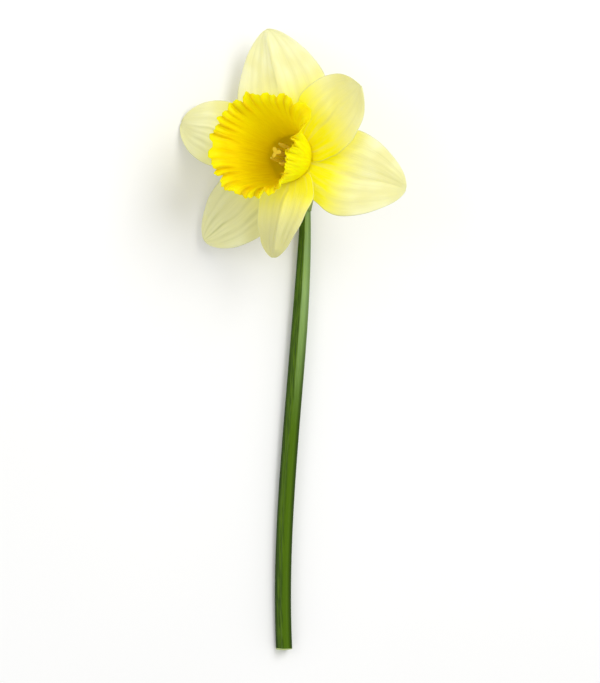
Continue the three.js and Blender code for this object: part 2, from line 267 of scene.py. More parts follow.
# Stem. A fleshy green stalk with two faint edges and fine ribs, cut off at its foot, where the
# hollow of its pith shows. It grows as one piece, and is thinner toward the flower.
STEM_LINE = [(6.4, -17, -33), (5.6, -79.7, -32), (-5.6, -142.3, -33), (-2.6, -205, -37)]
STEM_TOP_WIDTH = 4.5
STEM_FOOT_WIDTH = 7.0
STEM_FLATNESS = 0.775
STEM_SIDES = 144
STEM_ROWS = 240
STEM_LENGTH = 188.3
HOLLOW_RADIUS = 1.3
HOLLOW_DEPTH = 8.0
TOP_GAP = 0.3
CUT_HEIGHT = -204.6
SKIN_PART_OF_ROWS = 0.93
TOWARD_THE_BACK = (0.2, 0, -1)
WIDENING_START = 0.02
WIDENING_REACH = 0.33
LEFT_FACE_SLOPE = 2.67
RIGHT_FACE_SLOPE = 1.78
FACE_SHARPNESS = 7.0
FACE_FULLNESS = 1.06


def grown(name, sizes, build, material, place=LAID):
    """A mesh made by Geometry Nodes. build gets the graph and its named sizes and gives the
    geometry, which is realised, painted and put in its place."""
    tree = bpy.data.node_groups.new(name, "GeometryNodeTree")
    graph = Graph(tree)
    for label, value in sizes.items():
        kind = "NodeSocketInt" if isinstance(value, int) else "NodeSocketFloat"
        tree.interface.new_socket(label, in_out="INPUT", socket_type=kind)
    tree.interface.new_socket("Geometry", in_out="OUTPUT", socket_type="NodeSocketGeometry")
    geometry = build(graph, graph.add("NodeGroupInput"))
    geometry = graph.add("GeometryNodeRealizeInstances", {}, {"Geometry": geometry})
    inputs = {"Geometry": geometry, "Material": material}
    graph.add("NodeGroupOutput", {}, (graph.add("GeometryNodeSetMaterial", {}, inputs),))

    made = bpy.data.objects.new(name, bpy.data.meshes.new(name))
    bpy.context.scene.collection.objects.link(made)
    modifier = made.modifiers.new(name, "NODES")
    modifier.node_group = tree
    for socket in tree.interface.items_tree:
        if socket.in_out == "INPUT":
            modifier[socket.identifier] = sizes[socket.name]
    evaluated = made.evaluated_get(bpy.context.evaluated_depsgraph_get())
    mesh = bpy.data.meshes.new_from_object(evaluated)
    made.modifiers.remove(modifier)
    made.data = mesh
    mesh.transform(place)
    mesh.shade_smooth()
    return made


def vector(graph, x, y, z):
    return graph.add("ShaderNodeCombineXYZ", {}, (x, y, z))


def vectors(graph, operation, *values):
    return graph.add("ShaderNodeVectorMath", {"operation": operation}, values)


def scaled(graph, direction, length):
    inputs = {"Vector": direction, "Scale": length}
    return graph.add("ShaderNodeVectorMath", {"operation": "SCALE"}, inputs)


def stem_shape(graph, size):
    line = graph.add("GeometryNodeCurvePrimitiveBezierSegment", {}, {
        "Resolution": 400,
        "Start": STEM_LINE[0],
        "Start Handle": STEM_LINE[1],
        "End Handle": STEM_LINE[2],
        "End": STEM_LINE[3],
    })
    tube = graph.add("GeometryNodeMeshCylinder", {"fill_type": "NGON"}, {
        "Vertices": size["Sides"],
        "Side Segments": size["Rows"],
        "Radius": 1.0,
        "Depth": 2.0,
    })
    spot = graph.add("ShaderNodeSeparateXYZ", {}, (graph.add("GeometryNodeInputPosition"),))
    angle = graph.add("ShaderNodeMath", {"operation": "ARCTAN2"}, (spot["Y"], spot["X"]))
    # Rows run down the stem, over the cut and back up inside the hollow
    t = (1 - spot["Z"]) / 2
    down = (t / SKIN_PART_OF_ROWS).least(1.0)
    inside = ((t - SKIN_PART_OF_ROWS) / (1 - SKIN_PART_OF_ROWS)).most(0.0)
    start = TOP_GAP / size["Length"]
    reach = start + down * (1 - start) - inside * size["Hollow depth"] / size["Length"]
    on = graph.add("GeometryNodeSampleCurve", {"mode": "FACTOR"}, {"Curves": line, "Factor": reach})
    tangent = on["Tangent"]
    sideways = vectors(graph, "CROSS_PRODUCT", tangent, TOWARD_THE_BACK)
    across = vectors(graph, "NORMALIZE", sideways)
    outward = vectors(graph, "CROSS_PRODUCT", across, tangent)

    # It widens over the upper third alone
    left_to_widen = (1 - (down - WIDENING_START).most(0.0) / WIDENING_REACH).most(0.0)
    taper = 1 - left_to_widen * left_to_widen
    width = size["Top width"] + (size["Foot width"] - size["Top width"]) * taper
    # The section is oval behind, and in front two soft faces meet along a line
    wide = angle.sin()
    backward = angle.cos()
    oval = 0.5 / (wide * wide + (backward / size["Flatness"]) ** 2.0) ** 0.5
    depth = (backward * backward + 0.004) ** 0.5
    left = (depth * LEFT_FACE_SLOPE - wide * 2).most(0.0) ** FACE_SHARPNESS
    right = (depth * RIGHT_FACE_SLOPE + wide * 2).most(0.0) ** FACE_SHARPNESS
    faces = FACE_FULLNESS / (left + right) ** (1 / FACE_SHARPNESS)
    faces = faces + (oval - faces) * backward.smooth(-0.25, 0.25)
    ribs = 0.05 * (10 * angle).cos() + 0.025 * (31 * angle + 2 * t).sin()
    skin_radius = width * faces + ribs
    # The cut face turns in over the last rows, and the hollow's wall is a little uneven
    cut = inside.smooth(0.0, 0.12)
    pith = size["Hollow radius"] * (1 + 0.08 * (3 * angle + 9 * inside).sin())
    radius = skin_radius + (pith - skin_radius) * cut
    place = vectors(graph, "ADD", on["Position"], vectors(
        graph, "ADD",
        scaled(graph, outward, radius * angle.cos()),
        scaled(graph, across, radius * angle.sin()),
    ))
    stored = graph.add("GeometryNodeStoreNamedAttribute", {"data_type": "FLOAT"}, {
        "Geometry": tube, "Name": "rightward", "Value": wide * down.smooth(0.0, 0.001),
    })
    inputs = {"Geometry": stored, "Position": place}
    return graph.add("GeometryNodeSetPosition", {}, inputs)


def in_flower(graph, frame_matrix):
    """Object coordinates turned into the flower's frame, in millimetres."""
    where = graph.add("ShaderNodeTexCoord")["Object"]
    return graph.add("ShaderNodeMapping", {"vector_type": "TEXTURE"}, {
        "Vector": where,
        "Location": frame_matrix.to_translation(),
        "Rotation": frame_matrix.to_euler(),
        "Scale": (MM, MM, MM),
    })


def stem_finish(graph):
    where = in_flower(graph, LAID)
    spot = graph.add("ShaderNodeSeparateXYZ", {}, (where,))
    long = graph.add("ShaderNodeMapping", {}, {"Vector": where, "Scale": (1, 0.04, 1)})
    streaks = noise(graph, long, 1.6, 3.0, 0.6)
    fine = noise(graph, long, 6.0, 2.0, 0.6)
    patches = noise(graph, where, 0.06, 2.0)
    up = spot["Y"].smooth(-116.0, -46.0)
    rightward = graph.add("ShaderNodeAttribute", {"attribute_name": "rightward"})["Fac"]
    # The face turned to the right is painted lit and the face turned to the left painted in shade:
    # two copies of one green
    lit_face = (rightward + (streaks - 0.5) * 0.25).smooth(0.12, 0.3)
    shaded_face_green = streaks.smooth(0.3, 0.7).blend(paint(48, 78, 0), paint(84, 118, 0))
    light = up.blend(paint(74, 106, 0), paint(134, 166, 92))
    light = (streaks.smooth(0.45, 0.8) * up).blend(light, paint(150, 180, 88))
    # The waxy bloom goes on the painted lit face alone
    bloom = (patches.smooth(0.35, 0.7) * 0.35 + fine.smooth(0.4, 0.8) * 0.25) * up
    light = bloom.blend(light, paint(140, 170, 116))
    green = lit_face.blend(shaded_face_green, light)
    # A painted highlight runs along the ridge where the two faces meet
    ridge_highlight = ((rightward - 0.2) * (rightward - 0.2) * -260).exp() * up
    green = (ridge_highlight * 0.3).blend(green, paint(160, 190, 110))
    # Painted shade darkens both sides, where the stalk turns away from the light, more so low down
    green = (abs(rightward).smooth(0.8, 1.0) * (0.75 - 0.4 * up)).blend(green, paint(26, 46, 0))
    flesh = (spot["Y"] - CUT_HEIGHT).smooth(0.3, 0.0)
    return {
        "Base Color": flesh.blend(green, paint(205, 220, 150)),
        "Roughness": 0.36 + 0.22 * bloom,
        "Subsurface Weight": 0.1,
        "Subsurface Radius": (0.6, 1.0, 0.1),
        "Subsurface Scale": 0.0008,
        "Specular IOR Level": 0.12,
        "Normal": relief(graph, streaks * 0.6 + fine * 0.4, 0.00012),
    }


stem = grown("stem_stalk", {
    "Sides": STEM_SIDES,
    "Rows": STEM_ROWS,
    "Length": STEM_LENGTH,
    "Top width": STEM_TOP_WIDTH,
    "Foot width": STEM_FOOT_WIDTH,
    "Flatness": STEM_FLATNESS,
    "Hollow radius": HOLLOW_RADIUS,
    "Hollow depth": HOLLOW_DEPTH,
}, stem_shape, finish("stem flesh", stem_finish))
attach(stem, "root")
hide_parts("stem")


# Neck. The flower's stalk bends over from the stem's top, swells into the green seed case and
# opens into the tube, whose rim turns yellow where the petals and the trumpet grow from it.
TUBE_LENGTH = 15
OVARY_LENGTH = 10
PEDICEL_RADIUS = 2.1
TUBE_RIM = (1.2, 11)
TUBE_MOUTH = (1.2, 9.3)
TUBE_OUTSIDE = [
    (15, 3.1), (12.5, 3.6), (10, 4.3), (8, 5), (6, 6), (4.5, 7), (3.2, 8.2), (2.3, 9.5),
    (1.7, 10.6),
]
TUBE_HOLLOW = [(2.5, 8.15), (4, 6.6), (5.5, 5.15), (7, 4.2), (9, 3.6), (12, 2.9)]
# Where the rim stands out to carry the roots of the three outer petals
OUTER_AZIMUTHS = (105.6, 219.7, -14.6)
RIM_LOBE_WIDTH = 12
# Depths below the throat at which the stalk's, the seed case's and the tube's colours end
STALK_ENDS, SEED_CASE_ENDS, TUBE_ENDS = 27, 15, 9
NECK_SIDES = 120
STALK_RINGS, SEED_CASE_RINGS, TUBE_RINGS, HOLLOW_RINGS = 60, 60, 60, 24
NECK_RINGS = STALK_RINGS + SEED_CASE_RINGS + TUBE_RINGS + HOLLOW_RINGS
LINING_START = 1 - (HOLLOW_RINGS - 1) / (NECK_RINGS - 1)


def bezier(controls, t):
    a, b, c, d = (np.asarray(p, float) for p in controls)
    t = np.asarray(t, float)[..., None]
    return a * (1 - t) ** 3 + 3 * b * t * (1 - t) ** 2 + 3 * c * t ** 2 * (1 - t) + d * t ** 3


def mix(low, high, part):
    return low + (high - low) * part


def smooth(x, start, end):
    t = np.clip((x - start) / (end - start), 0, 1)
    return t * t * (3 - 2 * t)


def in_bloom(x, y, z):
    """Places given in the flower's own frame, in the growing flower."""
    columns = [np.asarray(d)[None] for d in (side, axis.cross(side), axis)]
    parts = np.broadcast_arrays(x, y, z)
    return sum(p[..., None] * d for p, d in zip(parts, columns))


stem_up = (Vector(STEM_LINE[0]) - Vector(STEM_LINE[1])).normalized()
ovary_foot = Vector(in_bloom(0, 0, -TUBE_LENGTH - OVARY_LENGTH).ravel())
PEDICEL_LINE = [
    Vector(STEM_LINE[0]),
    Vector(STEM_LINE[0]) + 9 * stem_up,
    ovary_foot - 8 * axis,
    ovary_foot,
]
bend_across = np.asarray(axis.cross(stem_up).normalized())
walk = bezier(PEDICEL_LINE, np.linspace(0, 1, 400))
walked = np.r_[0, np.cumsum(np.linalg.norm(np.diff(walk, axis=0), axis=1))]
PEDICEL_LENGTH = walked[-1]


def neck_place(distance):
    """Places along the neck from the stem's top to the throat, and the way it runs there."""
    distance = np.asarray(distance, float)
    inside = np.clip(distance, 0, PEDICEL_LENGTH)
    place = np.stack([np.interp(inside, walked, walk[:, k]) for k in range(3)], -1)
    ways = np.gradient(walk, axis=0)
    way = np.stack([np.interp(inside, walked, ways[:, k]) for k in range(3)], -1)
    way /= np.linalg.norm(way, axis=-1, keepdims=True)
    beyond = (distance - PEDICEL_LENGTH)[..., None]
    below = np.minimum(distance, 0)[..., None] * np.asarray(stem_up)
    straight = np.asarray(ovary_foot) + beyond * np.asarray(axis)
    place = np.where(beyond > 0, straight, place + below)
    way = np.where(beyond > 0, np.asarray(axis), way)
    return place, way


def out_of_bend(way):
    out = -np.cross(bend_across, way)
    return out / np.linalg.norm(out, axis=-1, keepdims=True)


def skin(name, rings, material):
    """A body made of rings of points, closed by a fan at both ends. Its UV map runs round it
    and from its first ring to its last."""
    rings = np.asarray(rings)
    rows, count = rings.shape[:2]
    points = [*rings.reshape(-1, 3), rings[0].mean(0), rings[-1].mean(0)]
    faces = []
    uvs = []
    for i in range(rows - 1):
        for j in range(count):
            a, b = i * count + j, i * count + (j + 1) % count
            faces.append((a, b, b + count, a + count))
            low, high = i / (rows - 1), (i + 1) / (rows - 1)
            left, right = j / count, (j + 1) / count
            uvs += [(left, low), (right, low), (right, high), (left, high)]
    first, last, end = rows * count, rows * count + 1, (rows - 1) * count
    for j in range(count):
        k = (j + 1) % count
        faces += [(first, k, j), (last, end + j, end + k)]
        uvs += [(j / count, 0)] * 3 + [(j / count, 1)] * 3
    made = piece_of(name, points, faces, material)
    made.data.uv_layers.new(name="UVMap").data.foreach_set("uv", np.ravel(uvs))
    made.data.transform(LAID)
    return made


def ring(place, way, out, radii):
    """Points round a place on a path, at a radius given for each angle."""
    across = np.cross(way, out)
    across /= np.linalg.norm(across)
    outward = np.cross(across, way)
    angle = np.linspace(0, 2 * math.pi, len(radii), endpoint=False)
    return (
        place
        + (radii * np.cos(angle))[:, None] * outward
        + (radii * np.sin(angle))[:, None] * across
    )


def neck_finish(graph):
    where = in_flower(graph, BLOOM)
    spot = graph.add("ShaderNodeSeparateXYZ", {}, (where,))
    long = graph.add("ShaderNodeMapping", {}, {"Vector": where, "Scale": (1, 1, 0.12)})
    streaks = noise(graph, long, 1.8, 3.0, 0.6)
    patches = noise(graph, where, 0.35, 2.0)
    stalk = paint(112, 146, 60)
    green = (spot["Z"] + STALK_ENDS + 2 * patches).smooth(0.0, 3.0)
    seed_case = green.blend(stalk, paint(88, 132, 44))
    pale = (spot["Z"] + SEED_CASE_ENDS + 2 * patches).smooth(0.0, 7.0)
    tube = pale.blend(seed_case, paint(176, 186, 62))
    yellow = (spot["Z"] + TUBE_ENDS + 2 * patches).smooth(0.0, 5.5)
    rim = yellow.blend(tube, paint(248, 238, 78))
    colour = (streaks.smooth(0.45, 0.8) * 0.25).blend(rim, paint(224, 226, 130))
    uv = graph.add("ShaderNodeSeparateXYZ", {}, (graph.add("ShaderNodeTexCoord")["UV"],))
    # Inside the tube the lining is painted from gold to brown toward its floor: painted shade of
    # the deep hollow
    lining = uv["Y"].smooth(LINING_START - 0.003, LINING_START)
    throat = spot["Z"].smooth(-4.5, -10.0).blend(paint(255, 214, 0), paint(180, 132, 8))
    colour = lining.blend(colour, throat)
    return {
        "Base Color": colour,
        "Roughness": 0.42 + 0.1 * patches,
        "Subsurface Weight": 0.2,
        "Subsurface Radius": (0.8, 1.0, 0.3),
        "Subsurface Scale": 0.001,
        "Normal": relief(graph, streaks, 0.00012),
    }


neck_rings = []
turns = np.linspace(0, 2 * math.pi, NECK_SIDES, endpoint=False)
for distance in np.linspace(0, PEDICEL_LENGTH, STALK_RINGS, endpoint=False):
    place, way = neck_place(distance)
    radii = PEDICEL_RADIUS + 0.05 * np.cos(6 * turns) + 0.03 * np.sin(11 * turns + distance)
    neck_rings.append(ring(place, way, out_of_bend(way), radii))
flower_way = np.asarray(axis)
flower_out = out_of_bend(flower_way)
for u in np.linspace(0, 1, SEED_CASE_RINGS, endpoint=False):
    swell = PEDICEL_RADIUS + 0.8 * u + 1.5 * math.sin(math.pi * u) ** 0.8
    groove = 0.07 * np.cos(3 * turns) - 0.03 * np.abs(np.cos(1.5 * turns)) ** 12
    radii = swell * (1 + math.sin(math.pi * u) * groove)
    depth = TUBE_LENGTH + OVARY_LENGTH * (1 - u)
    neck_rings.append(ring(in_bloom(0, 0, -depth)[0], flower_way, flower_out, radii))
outside = np.array([*TUBE_OUTSIDE, TUBE_RIM], float)
lobe_size = math.sin(math.radians(RIM_LOBE_WIDTH))
outer_lobes = sum(
    np.exp(-(np.sin((turns - math.radians(90 + azimuth)) / 2) / lobe_size) ** 2)
    for azimuth in OUTER_AZIMUTHS
)
for t in np.linspace(0, len(outside) - 1, TUBE_RINGS):
    depth, radius = (np.interp(t, range(len(outside)), outside[:, k]) for k in range(2))
    radii = radius * (1 + 0.025 * np.cos(6 * turns) * math.sin(math.pi * t / 9) ** 2)
    radii += (1.1 * outer_lobes - 0.9) * smooth(radius, 8, 11)
    neck_rings.append(ring(in_bloom(0, 0, -depth)[0], flower_way, flower_out, radii))
hollow = np.array([TUBE_MOUTH, *TUBE_HOLLOW], float)
for t in np.linspace(0, len(hollow) - 1, HOLLOW_RINGS):
    depth, radius = (np.interp(t, range(len(hollow)), hollow[:, k]) for k in range(2))
    radii = np.full(NECK_SIDES, radius)
    neck_rings.append(ring(in_bloom(0, 0, -depth)[0], flower_way, flower_out, radii))
neck = skin("neck_tube", neck_rings, finish("neck flesh", neck_finish))
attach(neck, "root")
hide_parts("neck")


# Spathe. The dry brown sheath that held the flower before it opened. It wraps the stem's top,
# has split open along one side, and stands up behind the tube as a crinkled, papery trough with
# a point.
SPATHE_LENGTH = 41
SPATHE_FOOT = -4
SPATHE_THICKNESS = 0.35


def blade(name, middle, rows, columns, thickness, material, tip_rows=1.0):
    """A thin curved sheet round a middle surface. u runs from its root to its tip, s across it
    from -1 to 1. It thins to nothing at its edges, where its two faces share their points. Its
    UV map has s from 0 to 1 and u."""
    t = np.linspace(0, 1, rows + 1)
    u, s = np.meshgrid(1 - (1 - t) ** tip_rows, np.linspace(-1, 1, columns + 1), indexing="ij")
    step = 1e-3
    centre = middle(u, s)
    along = middle(np.minimum(u + step, 1), s) - middle(np.maximum(u - step, 0), s)
    across = middle(u, s + step) - middle(u, s - step)
    facing = np.cross(along, across)
    facing /= np.linalg.norm(facing, axis=-1, keepdims=True)
    thin = (1 - np.abs(s) ** 12) ** 0.5 * (1 - (2 * u - 1) ** 40) ** 0.5
    offset = facing * (thickness / 2 * thin)[..., None]
    points = [*(centre + offset).reshape(-1, 3)]
    front = np.arange(len(points)).reshape(u.shape)
    back = front.copy()
    inner = (slice(1, -1), slice(1, -1))
    back[inner] = len(points) + np.arange(back[inner].size).reshape(back[inner].shape)
    points += [*(centre - offset)[inner].reshape(-1, 3)]
    faces = []
    uvs = []
    for i in range(rows):
        for j in range(columns):
            spots = [(i, j), (i + 1, j), (i + 1, j + 1), (i, j + 1)]
            for face, order in ((front, spots), (back, spots[::-1])):
                faces.append(tuple(int(face[k]) for k in order))
                uvs += [((s[k] + 1) / 2, u[k]) for k in order]
    made = piece_of(name, points, faces, material)
    made.data.uv_layers.new(name="UVMap").data.foreach_set("uv", np.ravel(uvs))
    made.data.transform(LAID)
    return made


def spathe_middle(u, s):
    place, way = neck_place(SPATHE_FOOT + SPATHE_LENGTH * u)
    out = out_of_bend(way)
    across = np.cross(way, out)
    wrap = mix(160, 70, smooth(u, 0.02, 0.4)) * (1 - smooth(u, 0.5, 1.03)) + 6
    ragged = 1 + 0.03 * np.sin(31 * u) + 0.02 * np.sin(67 * u + 1)
    angle = np.radians(wrap * s * ragged)
    crinkle = 0.14 * np.sin(14 * s + 5 * u) + 0.12 * np.sin(9 * u + 4 * s)
    crumple = 0.1 * np.sin(23 * s + 11 * u + 2 * np.sin(9 * u)) * smooth(u, 0.15, 0.4)
    spread = 1.75 * smooth(u, 0.3, 0.6) + 4.6 * smooth(u, 0.62, 1.1)
    loose = smooth(u, 0.0, 0.16)
    snug = 1 - 0.2 * (1 - loose) * np.cos(angle) ** 2
    radius = ((2.5 + (0.95 + crinkle + crumple) * loose) * snug + spread)[..., None]
    return place + radius * (out * np.cos(angle)[..., None] + across * np.sin(angle)[..., None])


def spathe_finish(graph):
    uv = graph.add("ShaderNodeTexCoord")["UV"]
    spot = graph.add("ShaderNodeSeparateXYZ", {}, (uv,))
    long = graph.add("ShaderNodeMapping", {}, {"Vector": uv, "Scale": (34, 2.2, 1)})
    fibres = noise(graph, long, 1.0, 3.0, 0.65)
    patches = noise(graph, in_flower(graph, LAID), 0.16, 3.0)
    tan = patches.smooth(0.3, 0.7).blend(paint(184, 150, 100), paint(214, 188, 140))
    tan = fibres.smooth(0.45, 0.75).blend(tan, paint(140, 104, 62))
    green = spot["Y"].smooth(0.24, 0.02) * 0.9
    return {
        "Base Color": green.blend(tan, paint(112, 144, 62)),
        "Roughness": 0.7 + 0.15 * fibres,
        "Subsurface Weight": 0.25,
        "Subsurface Radius": (1.0, 0.7, 0.4),
        "Subsurface Scale": 0.0008,
        "Normal": relief(graph, fibres * 0.7 + patches * 0.3, 0.0003),
    }


spathe = blade(
    "spathe_sheath", spathe_middle, 130, 90, SPATHE_THICKNESS, finish("dry sheath", spathe_finish),
)
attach(spathe, "root")
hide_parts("spathe")


# Petals. Six thin creamy blades, three outer ones and three inner ones in front of them, that
# grow from the tube's rim. Each is pleated along its veins, with a soft keel down its middle.
PETAL_THICKNESS = 0.42
PETAL_ROOT_RADIUS = 10.5
PETAL_ROOT_HALF_WIDTH = 6.7
PETAL_TUCK = 1.0
INNER_ROOT = -0.42
OUTER_ROOT = -0.82
TIP_ROUNDING = 2.2
PETAL_ROWS = 110
PETAL_COLUMNS = 96
# Azimuth, length, half width, widest place, bluntness, lean at root, middle and tip, sideways
# bend, twist, cup, fold, wave and its phase, all close to the solids'. Then the height of the
# keel and how far it stands to the side
PETALS = {
    "petal_top": (105.6, 46, 21.4, 0.35, 1.7, (-14, 9.5, 2), 1, 0, -0.06, 0.04, 0.5, 0.4, 1.5, 0),
    "petal_lower_left": (
        220.2, 42.2, 16.4, 0.43, 2.0, (-14, 4, -3), -1.5, 4, -0.04, 0.05, 0.6, 1.9, -0.9, 0,
    ),
    "petal_right": (
        -14.6, 43.2, 18, 0.37, 1.75, (-14, 5, -4.5), 0, 0, -0.03, 0.05, 0.5, 3.1, -0.7, 0,
    ),
    "petal_upper_right": (
        39.6, 36.7, 16, 0.4, 2.2, (25, -8, 37), -8, 2, 0.09, 0.03, 0.7, 4.2, 0.5, 0,
    ),
    "petal_left": (
        162, 41.3, 13.8, 0.49, 2.4, (25, -6, 7.5), 3.5, 0, 0.06, 0.06, 0.6, 5.3, 0.5, 0,
    ),
    "petal_bottom": (
        273.5, 35.2, 13.2, 0.26, 2.4, (40, 16, -2), -6, 20, 0.09, -0.24, 0.4, 0.9, 1.7, 1.6,
    ),
}


def petal_middle(values):
    azimuth, length, half_width, widest, blunt, lean, bend, twist, *rest = values
    cup, fold, wave, phase, keel, shift = rest
    steps = 400
    t = np.linspace(0, 1, steps + 1)
    rise = np.radians(lean[0] * (1 - t) ** 2 + 2 * lean[1] * t * (1 - t) + lean[2] * t ** 2)
    swing = np.radians(bend * t)
    ways = np.stack([
        np.cos(rise) * np.cos(swing),
        np.cos(rise) * np.sin(swing),
        np.sin(rise),
    ], -1)
    middles = (ways[1:] + ways[:-1]) / 2 * ((length + PETAL_TUCK) / steps)
    height = INNER_ROOT if lean[0] > 0 else OUTER_ROOT
    root = (PETAL_ROOT_RADIUS - PETAL_TUCK, 0, height)
    rib = np.asarray(root) + np.vstack([np.zeros(3), np.cumsum(middles, axis=0)])
    start = math.radians(azimuth)

    def at(u, s):
        place = np.stack([np.interp(u, t, rib[:, k]) for k in range(3)], -1)
        way = np.stack([np.interp(u, t, ways[:, k]) for k in range(3)], -1)
        way /= np.linalg.norm(way, axis=-1, keepdims=True)
        turn = np.radians(bend * u)
        flat = np.stack([-np.sin(turn), np.cos(turn), np.zeros_like(turn)], -1)
        lifted = np.cross(way, flat)
        tilt = np.radians(twist * u)[..., None]
        across = flat * np.cos(tilt) + lifted * np.sin(tilt)
        lift = np.cross(way, across)

        shoulder = np.sin(math.pi / 2 * np.minimum(u / widest, 1)) ** 0.72
        inner = mix(PETAL_ROOT_HALF_WIDTH, half_width, shoulder)
        x = np.maximum(u - widest, 0) / (1 - widest)
        half = inner * (1 - x ** blunt) ** 0.85 + 0.5 * x
        half += TIP_ROUNDING * x ** 3 * np.sqrt(1 - x ** 10)
        v = half * s
        crease = np.sqrt(s * s + 0.02) - math.sqrt(0.02)
        ripple = np.sin(7.5 * u + phase + np.where(s > 0, 2.1, 0)) * s * s * np.abs(s)
        pleats = 0.18 * np.cos(6.3 * s + phase + 0.6 * np.sin(2.5 * u + phase))
        pleats += 0.1 * np.cos(12.7 * s + 2.3 * phase + 0.4 * np.sin(4 * u))
        pleats += 0.04 * np.cos(29 * s + 3 * phase)
        frill = 0.22 * np.sin(21 * u + 3 * phase + np.where(s > 0, 1.3, 0)) * s ** 6
        off_ridge = v - shift
        crest = keel * np.exp(-np.sqrt(off_ridge * off_ridge + 0.06) / 2.2) * smooth(u, 0.05, 0.4)
        height = smooth(u, 0, 0.3) * (
            cup * half * s * s
            + fold * half * crease
            + wave * ripple
            + (pleats * (1 - 0.5 * np.abs(s)) + frill) * smooth(1 - u, 0, 0.2)
            + crest * smooth(1 - u, 0, 0.1)
        )
        # The root follows the tube's round rim
        drawn_in = (np.hypot(root[0], v) - root[0]) * (1 - smooth(u, 0, 0.2))
        place = place - drawn_in[..., None] * np.array([1, 0, 0])
        point = place + across * v[..., None] + lift * height[..., None]
        x, y, z = np.moveaxis(point, -1, 0)
        return in_bloom(
            x * math.cos(start) - y * math.sin(start),
            x * math.sin(start) + y * math.cos(start),
            z,
        )

    return at


# Where the painted reflection of the trumpet's yellow spreads furthest on the petals, behind the
# trumpet's upper right
YELLOW_REFLECTION_AT = (10, 17)
# Where the stronger veins run, from one edge at -1 to the other at 1, their width and strength
VEINS = [
    (-0.64, 0.06, 0.3), (-0.36, 0.08, 0.6), (-0.17, 0.04, 0.25), (0, 0.05, 0.9),
    (0.2, 0.04, 0.3), (0.42, 0.08, 0.6), (0.68, 0.06, 0.3),
]


def petal_finish(graph, lemon_reach, vein_strength):
    uv = graph.add("ShaderNodeTexCoord")["UV"]
    spot = graph.add("ShaderNodeSeparateXYZ", {}, (uv,))
    across = 2 * spot["X"] - 1
    along = spot["Y"]
    where = in_flower(graph, LAID)
    spot_at = graph.add("ShaderNodeSeparateXYZ", {}, (where,))
    drawn = [
        graph.add("ShaderNodeMapping", {}, {"Vector": uv, "Scale": scale, "Location": start})
        for scale, start in (((60, 3, 1), (0, 0, 0)), ((13, 1.2, 1), (3, 5, 0)))
    ]
    fibres = noise(graph, drawn[0], 1.0, 2.0, 0.5)
    broad = noise(graph, drawn[1], 1.0, 1.0)
    cloud = noise(graph, where, 0.07, 1.0)
    cells = noise(graph, where, 5.0, 2.0, 0.7)
    # A few soft lines run from the root to the tip, each as strong as the cloud lets it be
    bent = across + (cloud - 0.5) * 0.3 + (broad - 0.5) * 0.05
    lines = 0.0 * along
    for at, width, strength in VEINS:
        off = (bent - at) / width
        lines = lines.most((off * off * -1).exp() * strength)
    lines = lines * along.smooth(0.1, 0.4) * (0.3 + cloud.smooth(0.35, 0.65) * 0.7)
    lines = lines * (1 - 0.6 * along.smooth(0.7, 1.0))
    cream = cloud.smooth(0.35, 0.62).blend(paint(242, 237, 178), paint(254, 252, 204))
    lemon = paint(254, 244, 0)
    grey = paint(208, 204, 146)
    root = along.smooth(lemon_reach, 0.1) ** 1.25
    root = root * (0.85 + 0.6 * broad)
    # A painted reflection: near the trumpet's upper right the petals are painted lemon, as light
    # bounced off its yellow wall
    off_x = spot_at["X"] - YELLOW_REFLECTION_AT[0]
    off_y = spot_at["Y"] - YELLOW_REFLECTION_AT[1]
    spread = ((off_x * off_x + off_y * off_y) * -0.0055).exp() * 0.6
    colour = root.most(spread).least(1.0).blend(cream, lemon)
    colour = (broad.smooth(0.48, 0.78) * 0.3).blend(colour, paint(232, 226, 176))
    # Painted shade: it is painted greyer, with darker lines, low on the left, where the petals turn
    # away from the light, and darkest toward the tip of the petal that hangs lowest
    low = ((spot_at["X"] * -0.6) + (spot_at["Y"] * -0.8)).smooth(0.0, 30.0)
    colour = (low * 0.55).blend(colour, paint(212, 214, 172))
    colour = (along.smooth(0.7, 1.0) * 0.5).blend(colour, paint(230, 228, 172))
    drawing = lines * (vein_strength + 0.3 * low) + fibres.smooth(0.5, 0.8) * 0.16
    colour = drawing.least(1.0).blend(colour, low.blend(grey, paint(176, 178, 116)))
    # Painted shade on the petal that hangs lowest, which is turned away from the light
    hanging_shade = spot_at["Y"].smooth(-18.0, -36.0) * spot_at["X"].smooth(-22.0, -14.0)
    colour = (hanging_shade * 0.5).blend(colour, paint(190, 186, 120))
    edge = abs(across).smooth(0.962, 1.0).most(along.smooth(0.985, 1.0)) * 0.5
    colour = edge.blend(colour, paint(196, 200, 140))
    return {
        "Base Color": colour,
        "Roughness": 0.5 + 0.12 * cells,
        "Subsurface Weight": 0.5,
        "Subsurface Radius": (1.0, 0.95, 0.5),
        "Subsurface Scale": 0.0012,
        "Sheen Weight": 0.04,
        "Specular IOR Level": 0.16,
        "Normal": relief(graph, fibres * 0.5 + cells * 0.12 - lines * 0.6, 0.0002),
    }


outer_cream = finish("outer petal cream", lambda graph: petal_finish(graph, 0.66, 0.6))
inner_cream = finish("inner petal cream", lambda graph: petal_finish(graph, 0.9, 0.45))
for node, values in PETALS.items():
    blade_name = node.replace("petal", "blade")
    cream = inner_cream if values[5][0] > 0 else outer_cream
    petal = blade(
        blade_name, petal_middle(values), PETAL_ROWS, PETAL_COLUMNS, PETAL_THICKNESS, cream,
        tip_rows=1.6,
    )
    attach(petal, "root")
    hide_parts(node)


# Trumpet. The golden cup that grows from inside the petals' roots. Its wall is pleated, and its
# mouth flares and is crimped into fine frills. It rolls back at the upper right and tucks in at
# the lower right.
TRUMPET_SIDES = 550
TRUMPET_ROWS = 90
PETAL_ROOT_DEPTH = 1.1
LINING_RADIUS = 4.0
LINING_INSET = 3.43
